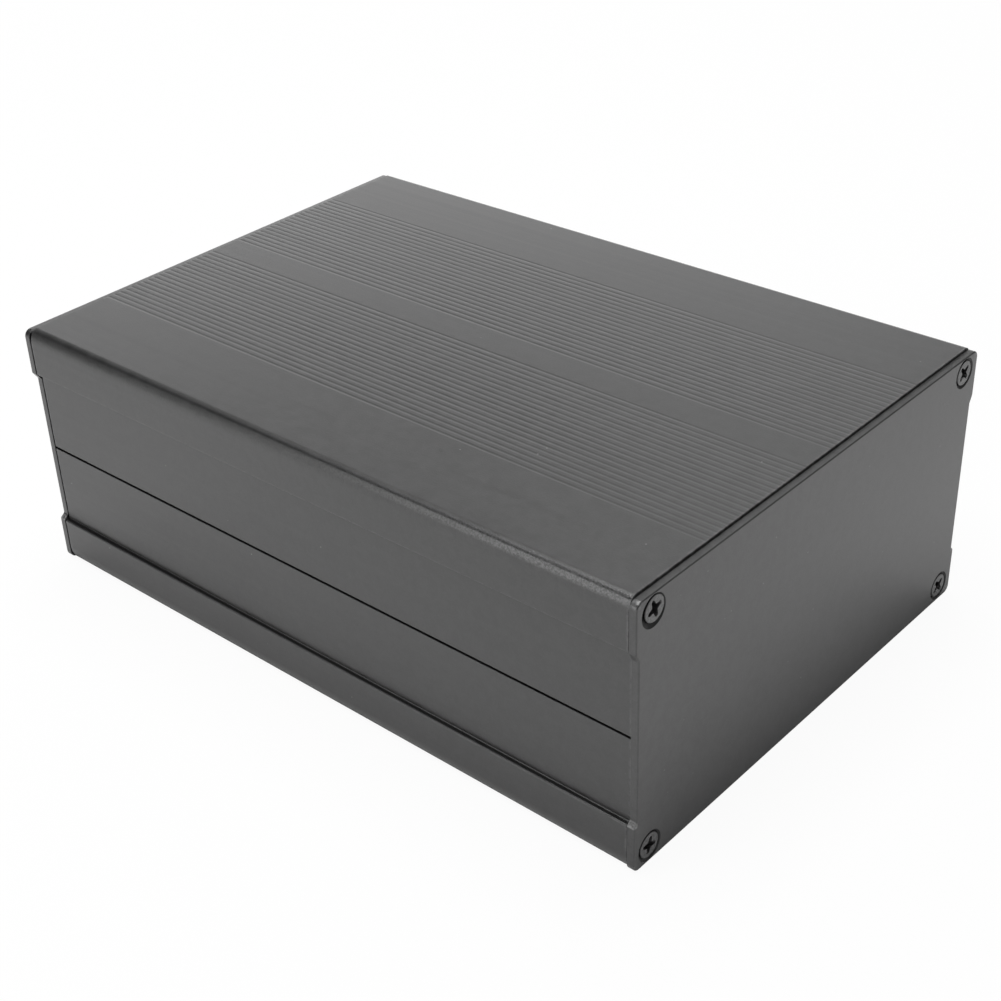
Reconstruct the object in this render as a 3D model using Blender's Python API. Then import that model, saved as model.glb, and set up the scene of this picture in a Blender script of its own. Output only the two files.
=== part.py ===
"""Split aluminium project box: two interlocking ribbed shells, two end plates and eight screws.

Units are metres and +Z is up. The shells run along X and the front end plate faces +X. The origin
lies under the middle of the box, on the surface that it rests on. Both shells are lengths of one
extruded section: the upper one is the lower one turned half a turn about the box's long middle line.
"""
import math

import bmesh
import bpy
from mathutils import Matrix, Vector

# Overall size of the extruded body
LENGTH = 0.150
WIDTH = 0.105
HEIGHT = 0.055

# Play between pieces
CLEARANCE = 0.0003
SEAM_GAP = 0.0005

# Walls and outer corners of a shell
BROAD_WALL = 0.0020
SIDE_WALL = 0.0016
CORNER_RADIUS = 0.0015

# Step between the full-width shoulder and the recessed side panel: a soft slope on the tongue side,
# a level ledge on the slot side
SHOULDER_HEIGHT = 0.0100
RECESS_DEPTH = 0.00105
SLOPE_RISE = 0.0016
SLOPE_ROUNDING = 0.0020
LEDGE_ROUNDING = 0.0002

# Two bands of shallow grooves along each broad face, either side of a plain middle strip
GROOVES_PER_BAND = 20
GROOVE_PITCH = 0.0015
GROOVE_WIDTH = 0.0010
GROOVE_DEPTH = 0.0002
GROOVE_FLOOR_WIDTH = 0.0002
MIDDLE_STRIP = 0.0065

# Tongue on one side wall, and the slot that takes it on the other
TONGUE_THICKNESS = 0.0010
TONGUE_REACH = 0.0020
TONGUE_TIP_CHAMFER = 0.0002
SLOT_LIP = 0.0009
SLOT_BED = 0.0009

# Rails that hold a circuit board along the inside of each side wall
RAIL_REACH = 0.0022
RAIL_THICKNESS = 0.0012
BOARD_SLOT = 0.0018
RAIL_MARGIN = 0.0022

# Open screw ports along the four corners
PORT_SIDE_INSET = 0.0046
PORT_FACE_INSET = 0.0036
PORT_WALL = 0.0010
PORT_MOUTH = 0.0016

# Flat end plates
PLATE_THICKNESS = 0.0015
PLATE_TOP_SETBACK = 0.0004
PLATE_BOTTOM_SETBACK = 0.0001
PLATE_EDGE_CHAMFER = 0.00015
PLATE_LOWER_SLOPE_RISE = 0.0008
PLATE_UPPER_SLOPE_RISE = 0.0016
PLATE_STEP_ROUNDING = 0.0004

# Countersunk screws with a cross recess
SCREW_LENGTH = 0.0080
SCREW_CORE_RADIUS = 0.0012
SCREW_HEAD_RADIUS = 0.0025
SCREW_HEAD_RIM = 0.0001
SCREW_HEAD_SINK = 0.00005
SCREW_TIP_CHAMFER = 0.0004

# Cross recess of a screw: sizes at the face of the head, then at its floor
DRIVE_DEPTH = 0.0011
DRIVE_SPAN = 0.0032
DRIVE_WING = 0.0006
DRIVE_BODY = 0.0013
DRIVE_FLOOR_SPAN = 0.0016
DRIVE_FLOOR_WING = 0.0004
DRIVE_FLOOR_BODY = 0.0009

# Turn of each screw's cross recess, in degrees
FRONT_DRIVE_TURNS = {"top_left": 19, "top_right": 42, "bottom_left": -14, "bottom_right": 40}
REAR_DRIVE_TURNS = {"top_left": 63, "top_right": 8, "bottom_left": 31, "bottom_right": -25}

# Mesh fineness and the small overshoot of a cutter
ARC_STEPS = 5
SMALL_ARC_STEPS = 3
PORT_STEPS = 20
ROUND_STEPS = 32
SMOOTH_LIMIT = math.radians(32)
WELD_DISTANCE = 1e-6
OVERSHOOT = 0.0005

# Places that follow from the sizes above
HALF_HEIGHT = HEIGHT / 2
SEAM_EDGE = HALF_HEIGHT - SEAM_GAP / 2
PANEL_FACE = WIDTH / 2 - RECESS_DEPTH
WALL_INSIDE = PANEL_FACE - SIDE_WALL
SLOT_WIDTH = TONGUE_THICKNESS + 2 * CLEARANCE
PORT_U = WIDTH / 2 - PORT_SIDE_INSET
PORT_V = PORT_FACE_INSET
PORT_RADIUS = SCREW_CORE_RADIUS + CLEARANCE
PORT_OUTER_RADIUS = PORT_RADIUS + PORT_WALL
PLATE_OUTSIDE = LENGTH / 2 + CLEARANCE + PLATE_THICKNESS
HOLE_RADIUS = SCREW_CORE_RADIUS + CLEARANCE
COUNTERSINK_RADIUS = SCREW_HEAD_RADIUS + SCREW_HEAD_SINK + CLEARANCE * math.sqrt(2)


def clear_scene():
    """Remove every object, so that the model starts from nothing."""
    for item in list(bpy.data.objects):
        bpy.data.objects.remove(item, do_unlink=True)


def make_material(name, colour, metallic, roughness):
    """One plain Principled finish."""
    material = bpy.data.materials.new(name)
    material.use_nodes = True
    shader = material.node_tree.nodes["Principled BSDF"]
    shader.inputs["Base Color"].default_value = (*colour, 1.0)
    shader.inputs["Metallic"].default_value = metallic
    shader.inputs["Roughness"].default_value = roughness
    material.diffuse_color = (*colour, 1.0)
    return material


def arc(centre, radius, start, end, steps=ARC_STEPS):
    """Points of an arc from start to end, both in degrees, with its two ends."""
    points = []
    for step in range(steps + 1):
        angle = math.radians(start + (end - start) * step / steps)
        points.append((centre[0] + radius * math.cos(angle), centre[1] + radius * math.sin(angle)))
    return points


def mirrored(points):
    """The same chain on the other side of the middle line, run the other way."""
    return [(-u, v) for u, v in reversed(points)]


def turn_at(before, corner, after):
    """Direction of a chain into one of its corners, and its clockwise turn there."""
    incoming = (Vector(corner) - Vector(before)).normalized()
    outgoing = (Vector(after) - Vector(corner)).normalized()
    return incoming, incoming.angle_signed(outgoing)


def rounded_corner(before, corner, after, radius, steps=SMALL_ARC_STEPS):
    """Arc that rounds one corner of a chain."""
    incoming, turn = turn_at(before, corner, after)
    reach = radius * math.tan(abs(turn) / 2)
    side = Vector((incoming.y, -incoming.x)) * (1 if turn > 0 else -1)
    centre = Vector(corner) - incoming * reach + side * radius
    start = math.degrees(math.atan2(-side.y, -side.x))
    return arc(centre, radius, start, start - math.degrees(turn), steps)


def side_outline(slope_rise, rounding):
    """Outer side of a shell, from its broad face up to the recessed panel."""
    outer = WIDTH / 2
    shoulder_end = (outer, SHOULDER_HEIGHT)
    panel_start = (PANEL_FACE, SHOULDER_HEIGHT + slope_rise)
    corner = arc((outer - CORNER_RADIUS, CORNER_RADIUS), CORNER_RADIUS, -90, 0)
    step = rounded_corner(corner[-1], shoulder_end, panel_start, rounding)
    step += rounded_corner(shoulder_end, panel_start, (PANEL_FACE, HALF_HEIGHT), rounding)
    return corner + step


def groove_band():
    """Chain across one band of grooves, from the middle strip outwards."""
    points = []
    for index in range(GROOVES_PER_BAND):
        centre = MIDDLE_STRIP / 2 + GROOVE_WIDTH / 2 + index * GROOVE_PITCH
        points += [(centre - GROOVE_WIDTH / 2, 0.0),
                   (centre - GROOVE_FLOOR_WIDTH / 2, GROOVE_DEPTH),
                   (centre + GROOVE_FLOOR_WIDTH / 2, GROOVE_DEPTH),
                   (centre + GROOVE_WIDTH / 2, 0.0)]
    return points


def seam_tongue():
    """Wall end with the tongue, from the outside in."""
    tongue_outside = PANEL_FACE - SLOT_LIP - CLEARANCE
    tongue_inside = tongue_outside - TONGUE_THICKNESS
    tip = HALF_HEIGHT + TONGUE_REACH
    return [(PANEL_FACE, SEAM_EDGE),
            (tongue_outside, SEAM_EDGE),
            (tongue_outside, tip - TONGUE_TIP_CHAMFER),
            (tongue_outside - TONGUE_TIP_CHAMFER, tip),
            (tongue_inside + TONGUE_TIP_CHAMFER, tip),
            (tongue_inside, tip - TONGUE_TIP_CHAMFER),
            (tongue_inside, SEAM_EDGE),
            (PANEL_FACE - 2 * SLOT_LIP - SLOT_WIDTH, SEAM_EDGE)]


def seam_slot():
    """Wall end with the slot for the other shell's tongue, from the outside in."""
    slot_outside = PANEL_FACE - SLOT_LIP
    slot_inside = slot_outside - SLOT_WIDTH
    slot_floor = HALF_HEIGHT - TONGUE_REACH - CLEARANCE
    return [(PANEL_FACE, SEAM_EDGE),
            (slot_outside, SEAM_EDGE),
            (slot_outside, slot_floor),
            (slot_inside, slot_floor),
            (slot_inside, SEAM_EDGE),
            (slot_inside - SLOT_LIP, SEAM_EDGE)]


def seam_bulge():
    """Thickened wall behind the seam, down to where its slope runs back into the wall."""
    inside = PANEL_FACE - 2 * SLOT_LIP - SLOT_WIDTH
    bed = HALF_HEIGHT - TONGUE_REACH - CLEARANCE - SLOT_BED
    return [(inside, bed), (WALL_INSIDE, bed - (WALL_INSIDE - inside))]


def board_rails(top):
    """Rails down the inside of the wall, as many as fit between the seam and the screw port."""
    pitch = RAIL_THICKNESS + BOARD_SLOT
    first = PORT_V + PORT_OUTER_RADIUS + RAIL_MARGIN
    slots = int((top - RAIL_MARGIN / 2 - RAIL_THICKNESS - first) / pitch)
    points = []
    for index in range(slots, -1, -1):
        low = first + index * pitch
        high = low + RAIL_THICKNESS
        points += [(WALL_INSIDE, high), (WALL_INSIDE - RAIL_REACH, high),
                   (WALL_INSIDE - RAIL_REACH, low), (WALL_INSIDE, low)]
    return points


def screw_port():
    """Open round port in the corner, with its mouth towards the middle of the box."""
    centre = (PORT_U, PORT_V)
    mouth = 135
    outer_half = math.degrees(math.asin(PORT_MOUTH / 2 / PORT_OUTER_RADIUS))
    bore_half = math.degrees(math.asin(PORT_MOUTH / 2 / PORT_RADIUS))
    points = [(WALL_INSIDE, PORT_V + PORT_OUTER_RADIUS)]
    points += arc(centre, PORT_OUTER_RADIUS, 90, mouth - outer_half, SMALL_ARC_STEPS)
    points += arc(centre, PORT_RADIUS, mouth - bore_half, mouth + bore_half - 360, PORT_STEPS)
    points += arc(centre, PORT_OUTER_RADIUS, mouth + outer_half, 180, SMALL_ARC_STEPS)
    points.append((PORT_U - PORT_OUTER_RADIUS, BROAD_WALL))
    return points


def side_of_section(slope_rise, rounding, seam_end):
    """Half of the shell's section, from the middle strip outside to the broad wall inside."""
    bulge = seam_bulge()
    rails = board_rails(bulge[-1][1])
    outside = groove_band() + side_outline(slope_rise, rounding)
    return outside + seam_end + bulge + rails + screw_port()


def shell_mesh():
    """Extruded shell, with the tongue at +Y and the slot at -Y."""
    tongue_side = side_of_section(SLOPE_RISE, SLOPE_ROUNDING, seam_tongue())
    slot_side = side_of_section(0.0, LEDGE_ROUNDING, seam_slot())
    section = tongue_side + mirrored(slot_side)
    mesh = bmesh.new()
    corners = [mesh.verts.new((-LENGTH / 2, u, v)) for u, v in section]
    cap = mesh.faces.new(corners)
    grown = bmesh.ops.extrude_face_region(mesh, geom=[cap])["geom"]
    far_corners = [item for item in grown if isinstance(item, bmesh.types.BMVert)]
    bmesh.ops.translate(mesh, vec=(LENGTH, 0, 0), verts=far_corners)
    return finished_mesh(mesh, "extruded_shell")


def finished_mesh(mesh, name):
    """Turn the faces outwards and shade the rounded stretches smooth."""
    bmesh.ops.recalc_face_normals(mesh, faces=mesh.faces[:])
    data = bpy.data.meshes.new(name)
    mesh.to_mesh(data)
    mesh.free()
    data.shade_smooth()
    data.set_sharp_from_angle(angle=SMOOTH_LIMIT)
    return data


def plate_corners():
    """Corners of an end plate about its middle with the radius of each, anticlockwise."""
    outer = WIDTH / 2
    shoulder = HALF_HEIGHT - SHOULDER_HEIGHT
    right = [((outer, PLATE_BOTTOM_SETBACK - HALF_HEIGHT), CORNER_RADIUS),
             ((outer, -shoulder), PLATE_STEP_ROUNDING),
             ((PANEL_FACE, PLATE_LOWER_SLOPE_RISE - shoulder), PLATE_STEP_ROUNDING),
             ((PANEL_FACE, shoulder - PLATE_UPPER_SLOPE_RISE), PLATE_STEP_ROUNDING),
             ((outer, shoulder), PLATE_STEP_ROUNDING),
             ((outer, HALF_HEIGHT - PLATE_TOP_SETBACK), CORNER_RADIUS)]
    return right + [((-u, v), radius) for (u, v), radius in reversed(right)]


def plate_outline(inset):
    """Closed rounded outline of an end plate, inset evenly for the chamfered edge."""
    corners = plate_corners()
    count = len(corners)
    moved = []
    for index, (corner, radius) in enumerate(corners):
        before, after = corners[index - 1][0], corners[(index + 1) % count][0]
        incoming, turn = turn_at(before, corner, after)
        inward = Vector((-incoming.y, incoming.x)) + incoming * math.tan(turn / 2)
        moved.append((Vector(corner) + inward * inset, radius + math.copysign(inset, turn)))
    points = []
    for index, (corner, radius) in enumerate(moved):
        before, after = moved[index - 1][0], moved[(index + 1) % count][0]
        points += rounded_corner(before, corner, after, radius, ARC_STEPS)
    return points


def plate_blank_mesh():
    """End plate without holes, its outer face at +X and its middle at the origin."""
    layers = [(-PLATE_THICKNESS, PLATE_EDGE_CHAMFER),
              (-PLATE_THICKNESS + PLATE_EDGE_CHAMFER, 0.0),
              (-PLATE_EDGE_CHAMFER, 0.0),
              (0.0, PLATE_EDGE_CHAMFER)]
    mesh = bmesh.new()
    rings = []
    for depth, inset in layers:
        rings.append([mesh.verts.new((depth, u, v)) for u, v in plate_outline(inset)])
    count = len(rings[0])
    for near, far in zip(rings, rings[1:]):
        for index in range(count):
            following = (index + 1) % count
            mesh.faces.new((near[index], near[following], far[following], far[index]))
    mesh.faces.new(rings[0])
    mesh.faces.new(rings[-1])
    return finished_mesh(mesh, "plate_blank")


def turned_mesh(profile, name):
    """Solid turned about X from a chain of (place along X, radius) points."""
    mesh = bmesh.new()
    chain = [mesh.verts.new((place, radius, 0.0)) for place, radius in profile]
    edges = [mesh.edges.new(pair) for pair in zip(chain, chain[1:])]
    bmesh.ops.spin(mesh, geom=chain + edges, axis=(1, 0, 0), cent=(0, 0, 0),
                   angle=2 * math.pi, steps=ROUND_STEPS, use_merge=True)
    bmesh.ops.remove_doubles(mesh, verts=mesh.verts[:], dist=WELD_DISTANCE)
    return finished_mesh(mesh, name)


def hole_cutter_mesh():
    """Countersunk hole for one screw, through the plate."""
    cone_end = COUNTERSINK_RADIUS - HOLE_RADIUS
    back = max(cone_end, PLATE_THICKNESS) + OVERSHOOT
    profile = [(OVERSHOOT, 0.0),
               (OVERSHOOT, COUNTERSINK_RADIUS + OVERSHOOT),
               (-cone_end, HOLE_RADIUS),
               (-back, HOLE_RADIUS),
               (-back, 0.0)]
    return turned_mesh(profile, "countersunk_hole")


def screw_blank_mesh():
    """Countersunk screw without its recess, the face of its head at X = 0."""
    head_end = SCREW_HEAD_RIM + SCREW_HEAD_RADIUS - SCREW_CORE_RADIUS
    profile = [(0.0, 0.0),
               (0.0, SCREW_HEAD_RADIUS),
               (-SCREW_HEAD_RIM, SCREW_HEAD_RADIUS),
               (-head_end, SCREW_CORE_RADIUS),
               (-SCREW_LENGTH + SCREW_TIP_CHAMFER, SCREW_CORE_RADIUS),
               (-SCREW_LENGTH, SCREW_CORE_RADIUS - SCREW_TIP_CHAMFER),
               (-SCREW_LENGTH, 0.0)]
    return turned_mesh(profile, "screw_blank")


def cross_outline(depth):
    """Cross of four wings round a wider body, tapered between the face of the head and the floor."""
    share = depth / DRIVE_DEPTH
    reach = (DRIVE_SPAN + (DRIVE_FLOOR_SPAN - DRIVE_SPAN) * share) / 2
    wing = (DRIVE_WING + (DRIVE_FLOOR_WING - DRIVE_WING) * share) / 2
    body = (DRIVE_BODY + (DRIVE_FLOOR_BODY - DRIVE_BODY) * share) / 2 / math.sqrt(2)
    points = []
    for quarter in range(4):
        turn = Matrix.Rotation(quarter * math.pi / 2, 2)
        points += [turn @ Vector(place) for place in ((reach, -wing), (reach, wing), (body, body))]
    return points


def cross_cutter_mesh():
    """Tapered cross recess, sunk from the face of the head."""
    mesh = bmesh.new()
    top, floor = [[mesh.verts.new((-depth, *place)) for place in cross_outline(depth)]
                  for depth in (-OVERSHOOT, DRIVE_DEPTH)]
    count = len(top)
    for index in range(count):
        following = (index + 1) % count
        mesh.faces.new((top[index], top[following], floor[following], floor[index]))
    mesh.faces.new(top)
    mesh.faces.new(floor)
    return finished_mesh(mesh, "cross_recess")


def add_object(name, data, matrix, material=None):
    """Put a mesh in the scene under a name."""
    item = bpy.data.objects.new(name, data)
    item.matrix_world = matrix
    bpy.context.scene.collection.objects.link(item)
    if material:
        data.materials.clear()
        data.materials.append(material)
    return item


def cut_mesh(blank, cutter_data, places, name):
    """Mesh of a blank with one cutter taken out of it at each place."""
    body = add_object("blank", blank, Matrix.Identity(4))
    cutters = []
    for place in places:
        cutter = add_object("cutter", cutter_data, place)
        cutters.append(cutter)
        cut = body.modifiers.new("cut", "BOOLEAN")
        cut.operation = "DIFFERENCE"
        cut.solver = "EXACT"
        cut.object = cutter
    bpy.context.view_layer.update()
    evaluated = body.evaluated_get(bpy.context.evaluated_depsgraph_get())
    data = bpy.data.meshes.new_from_object(evaluated)
    data.name = name
    data.shade_smooth()
    data.set_sharp_from_angle(angle=SMOOTH_LIMIT)
    for item in [body, *cutters]:
        bpy.data.objects.remove(item, do_unlink=True)
    return data


def screw_places():
    """Corner names of one end as seen from outside, with their places across and up."""
    high = HALF_HEIGHT - PORT_FACE_INSET
    return {"top_left": (-PORT_U, high), "top_right": (PORT_U, high),
            "bottom_left": (-PORT_U, -high), "bottom_right": (PORT_U, -high)}


def end_matrix(end):
    """Frame of an end plate's outer face: the front one faces +X and the rear one -X."""
    half_turn = 0.0 if end == "front" else math.pi
    middle = Matrix.Translation((0, 0, HALF_HEIGHT))
    return middle @ Matrix.Rotation(half_turn, 4, "Z") @ Matrix.Translation((PLATE_OUTSIDE, 0, 0))


def add_shells(material):
    """Lower shell as extruded, and upper shell turned over onto it."""
    data = shell_mesh()
    add_object("lower_shell", data, Matrix.Identity(4), material)
    turned_over = Matrix.Translation((0, 0, HEIGHT)) @ Matrix.Rotation(math.pi, 4, "X")
    add_object("upper_shell", data, turned_over, material)


def add_end_plates(material):
    """One countersunk plate on each end."""
    places = [Matrix.Translation((0, u, v)) for u, v in screw_places().values()]
    data = cut_mesh(plate_blank_mesh(), hole_cutter_mesh(), places, "end_plate")
    for end in ("front", "rear"):
        add_object(f"{end}_end_plate", data, end_matrix(end), material)


def add_screws(material):
    """Four screws through each end plate into the ports."""
    data = cut_mesh(screw_blank_mesh(), cross_cutter_mesh(), [Matrix.Identity(4)], "screw")
    for end, turns in (("front", FRONT_DRIVE_TURNS), ("rear", REAR_DRIVE_TURNS)):
        for corner, (across, up) in screw_places().items():
            seat = Matrix.Translation((-SCREW_HEAD_SINK, across, up))
            turn = Matrix.Rotation(math.radians(turns[corner]), 4, "X")
            add_object(f"{end}_screw_{corner}", data, end_matrix(end) @ seat @ turn, material)


def main():
    clear_scene()
    shell_finish = make_material("black_anodised_extrusion", (0.045, 0.045, 0.047), 0.0, 0.38)
    plate_finish = make_material("black_anodised_plate", (0.050, 0.050, 0.052), 0.0, 0.42)
    screw_finish = make_material("black_oxide_screw", (0.030, 0.030, 0.032), 0.0, 0.30)
    add_shells(shell_finish)
    add_end_plates(plate_finish)
    add_screws(screw_finish)


main()
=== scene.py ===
"""Looks of the split aluminium project box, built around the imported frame.

Units are metres, +Z is up, and the shells run along X with the front end plate facing +X.
"""
import math

import bmesh
import bpy
from mathutils import Euler, Matrix, Vector
from mathutils.geometry import delaunay_2d_cdt

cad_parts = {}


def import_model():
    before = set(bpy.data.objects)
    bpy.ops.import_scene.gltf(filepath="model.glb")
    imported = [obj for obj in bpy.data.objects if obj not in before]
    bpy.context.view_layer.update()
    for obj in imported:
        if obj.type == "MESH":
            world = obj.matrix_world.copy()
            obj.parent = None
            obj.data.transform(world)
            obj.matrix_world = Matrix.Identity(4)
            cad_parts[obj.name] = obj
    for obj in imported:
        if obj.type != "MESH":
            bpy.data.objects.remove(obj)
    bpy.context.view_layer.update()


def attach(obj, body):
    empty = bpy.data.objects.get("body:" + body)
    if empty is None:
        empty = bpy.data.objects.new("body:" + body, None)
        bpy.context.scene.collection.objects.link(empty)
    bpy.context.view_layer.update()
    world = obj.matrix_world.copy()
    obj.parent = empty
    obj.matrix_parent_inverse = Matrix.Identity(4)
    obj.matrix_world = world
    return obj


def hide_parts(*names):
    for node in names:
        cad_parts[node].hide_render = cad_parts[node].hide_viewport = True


BODY = "root"
WHITE = (1.0, 1.0, 1.0)

# Camera at the reference viewing angle
CAMERA_PLACE = (0.20208, -0.22124, 0.20368)
CAMERA_TURN = (58.104, 2.621, 42.120)
CAMERA_LENS = 61.904
CAMERA_SENSOR = 36.0
CAMERA_SHIFT = (0.0454, 0.0030)
CAMERA_CLIP = (0.01, 20.0)

# Lamps: place, the point that they face, width and height, radiance of the lit face
LAMPS = {
    "overhead": ((-0.06, -0.10, 0.90), (-0.06, -0.10, 0.0), (0.50, 0.90), 5.6),
    "left_high": ((-0.57, -0.05, 0.74), (0.0, 0.0, 0.05), (0.90, 0.25), 0.6),
    "back_low": ((-0.694, 0.582, 0.21), (0.0, 0.0, 0.21), (1.4, 0.42), 2.18),
    "back_high": ((-0.22, 0.70, 0.74), (0.02, 0.08, 0.10), (0.60, 0.34), 0.9),
    "right_card": ((0.75, 0.60, 0.08), (0.0, 0.0, 0.06), (1.2, 0.18), 1.1),
    "fill": ((-0.34, -0.86, 0.22), (0.0, -0.05, 0.0), (0.42, 0.30), 3.0),
}
WORLD_LEVEL = 0.10

# Floor: a diffuse sheet, replaced by a white glow by these shares for each kind of ray
FLOOR_REACH = 3.0
FLOOR_DROP = 0.00005
FLOOR_ALBEDO = 0.92
FLOOR_GLOW = {"Is Camera Ray": 0.94, "Is Glossy Ray": 0.02, "Is Transmission Ray": 0.02}

# Overall size of the extruded body, as in the solids
LENGTH = 0.150
WIDTH = 0.105
HEIGHT = 0.055

# Ends of the dressed shells: close behind the front plate, with a dark gap at the rear one
SHELL_FRONT = 0.07526
SHELL_REAR = 0.07495
SHELL_END_EDGE = 0.00008
END_WEAR_REACH = 0.0006
END_PLAIN_REACH = 0.0020

# Walls, long corners and seam of a shell; a corner turns CORNER_TOP_TURN degrees on its top radius
BROAD_WALL = 0.0020
SIDE_WALL = 0.0016
CORNER_TOP_RADIUS = 0.0014
CORNER_TOP_TURN = 60
CORNER_TOP_STEPS = 12
CORNER_SIDE_RADIUS = 0.0052
CORNER_SIDE_STEPS = 10
CLEARANCE = 0.0003
SEAM_GAP = 0.00045
TONGUE_SIDE_EDGE = 0.00020
SLOT_SIDE_EDGE = 0.00008
SEAM_EDGE_STEPS = 4

# Step between the shoulder and the recessed side panel
SHOULDER_HEIGHT = 0.0100
RECESS_DEPTH = 0.00105
LEDGE_ROUNDING = {"lower": 0.00042, "upper": 0.00014}
LEDGE_STEPS = 6
LEDGE_CORNER = 0.00018
LEDGE_CORNER_STEPS = 5

# Two bands of shallow grooves on each broad face
GROOVES_PER_BAND = 20
GROOVE_PITCH = 0.0015
GROOVE_WIDTH = 0.0010
GROOVE_DEPTH = 0.000036
GROOVE_START = 0.00070
GROOVE_STEPS = 10
MIDDLE_STRIP = 0.0065

# Tongue and slot of the seam
TONGUE_THICKNESS = 0.0010
TONGUE_REACH = 0.0020
TONGUE_TIP_CHAMFER = 0.0002
SLOT_LIP = 0.0009
SLOT_BED = 0.0009

# Rails and screw ports inside; a port's mouth faces the middle of the box, in degrees
RAIL_REACH = 0.0022
RAIL_THICKNESS = 0.0012
BOARD_SLOT = 0.0018
RAIL_MARGIN = 0.0022
PORT_SIDE_INSET = 0.0046
PORT_FACE_INSET = 0.0036
PORT_WALL = 0.0010
PORT_WALL_STEPS = 5
PORT_MOUTH = 0.0016
PORT_MOUTH_TURN = 135
PORT_BORE_STEPS = 30
CORE_RADIUS = 0.0012

# End plates; their rims carry a mark of painted shade and a rougher finish, full along the broad faces and
# slight at the sides
PLATE_THICKNESS = 0.0015
PLATE_TOP_SETBACK = 0.00045
PLATE_BOTTOM_SETBACK = 0.0001
PLATE_CORNER_RADIUS = 0.0015
PLATE_CORNER_STEPS = 10
PLATE_FRONT_EDGE = 0.00025
PLATE_BACK_EDGE = 0.00010
PLATE_LOWER_SLOPE_RISE = 0.0008
PLATE_UPPER_SLOPE_RISE = 0.0016
PLATE_STEP_ROUNDING = 0.0004
PLATE_PANEL_OVERLAP = {"front": 0.0003, "rear": 0.0}
BROAD_RIM_DEPTH = 0.0008
SIDE_RIM_MARK = 0.15

# Countersunk screws, and the countersinks' mouths
HEAD_RADIUS = 0.00245
HEAD_SINK = 0.00005
HEAD_EDGE = 0.00016
HEAD_RIM = 0.00005
NECK_LENGTH = 0.0002
SCREW_LENGTH = 0.0080
RING_RADIUS = 0.00305
RING_EDGE = 0.00008

# Rolled thread: its flanks' steepness, and the taper over the last rings at the tip
THREAD_PITCH = 0.0005
THREAD_RADIUS = 0.00145
THREAD_STEPS = 10
THREAD_FLANK = 2.6
THREAD_END_GAP = 0.0001
TIP_TAPER = 0.0003
TIP_RINGS = 8

# Cross recess of a screw: sizes at the face of the head, then at its floor
DRIVE_DEPTH = 0.0016
DRIVE_REACH = (0.00178, 0.00090)
DRIVE_WING = (0.00040, 0.00024)
DRIVE_BODY = (0.00055, 0.00034)
DRIVE_LEVELS = (0.08, 0.5, 1.0)
DRIVE_POINT = 1.15
WING_END = 70
WING_STEPS = 6

# Turn of each cross recess in degrees, and how far screws and countersinks sit off their middles
DRIVE_TURNS = {
    "front": {"top_left": 19, "top_right": 42, "bottom_left": -14, "bottom_right": 40},
    "rear": {"top_left": 63, "top_right": 8, "bottom_left": 31, "bottom_right": -25},
}
SCREW_DRIFT = {"front": {"bottom_left": (-0.00030, -0.00010)}, "rear": {}}
SINK_DRIFT = {
    "front": {"top_left": (-0.00032, -0.00020), "bottom_left": (-0.00032, -0.00015)},
    "rear": {},
}

# Mesh making: steps of edges and circles, sharp angles in degrees, and the most that a turn,
# in radians, counts where a ring is moved inwards
EDGE_STEPS = 4
CIRCLE_STEPS = 48
BODY_SHARP_ANGLE = 35
SCREW_SHARP_ANGLE = 40
LARGEST_TURN = 2.2

# Places that follow from the sizes above
HALF_HEIGHT = HEIGHT / 2
SEAM_EDGE = HALF_HEIGHT - SEAM_GAP / 2
PANEL_FACE = WIDTH / 2 - RECESS_DEPTH
WALL_INSIDE = PANEL_FACE - SIDE_WALL
SLOT_WIDTH = TONGUE_THICKNESS + 2 * CLEARANCE
SEAM_INSIDE = PANEL_FACE - 2 * SLOT_LIP - SLOT_WIDTH
PORT_U = WIDTH / 2 - PORT_SIDE_INSET
PORT_V = PORT_FACE_INSET
PORT_RADIUS = CORE_RADIUS + CLEARANCE
PORT_OUTER_RADIUS = PORT_RADIUS + PORT_WALL
PLATE_OUTSIDE = LENGTH / 2 + CLEARANCE + PLATE_THICKNESS

# Colours: dark and light end of each finish, then what lies over it: rubbed patches, painted sheen,
# painted highlights, painted shade and dust
SHELL_TONES = ((0.006, 0.006, 0.006), (0.018, 0.018, 0.0183))
PLATE_TONES = ((0.005, 0.005, 0.005), (0.025, 0.025, 0.0253))
STEEL_TONES = ((0.008, 0.008, 0.0083), (0.115, 0.115, 0.116))
# Rubbed grain with painted sheen on the long corners
RUBBED_AND_SHEEN_CORNER = (0.085, 0.085, 0.086)
# Painted highlight along the edge where a shoulder ends
PAINTED_SHOULDER_HIGHLIGHT = (0.036, 0.036, 0.0364)
RUBBED_END = (0.07, 0.07, 0.071)
# Painted highlight on the plate's lower steps
PAINTED_STEP_HIGHLIGHT = (0.22, 0.22, 0.22)
# Painted shade on the ledges between shoulder and panel
PAINTED_LEDGE_SHADE = (0.003, 0.003, 0.003)
# Painted shade on the plate's rims and countersink walls
PAINTED_RIM_SHADE = (0.004, 0.004, 0.004)
SHELL_DUST = (0.16, 0.16, 0.16)
PLATE_DUST = (0.14, 0.14, 0.14)

# Noise: scale, detail, roughness
DIE_LINES = (1.0, 3.0, 0.5)
DIE_LINE_STRETCH = (4, 900, 900)
SHELL_CLOUDS = (460, 5.0, 0.75)
SHELL_GRAIN = (3000, 3.0, 0.65)
CORNER_GRAIN = (3600, 1.0, 0.5)
PLATE_CLOUDS = (460, 5.0, 0.78)
PLATE_GRAIN = (2800, 3.0, 0.65)
STEEL_PITS = (1900, 4.0, 0.65)

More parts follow.
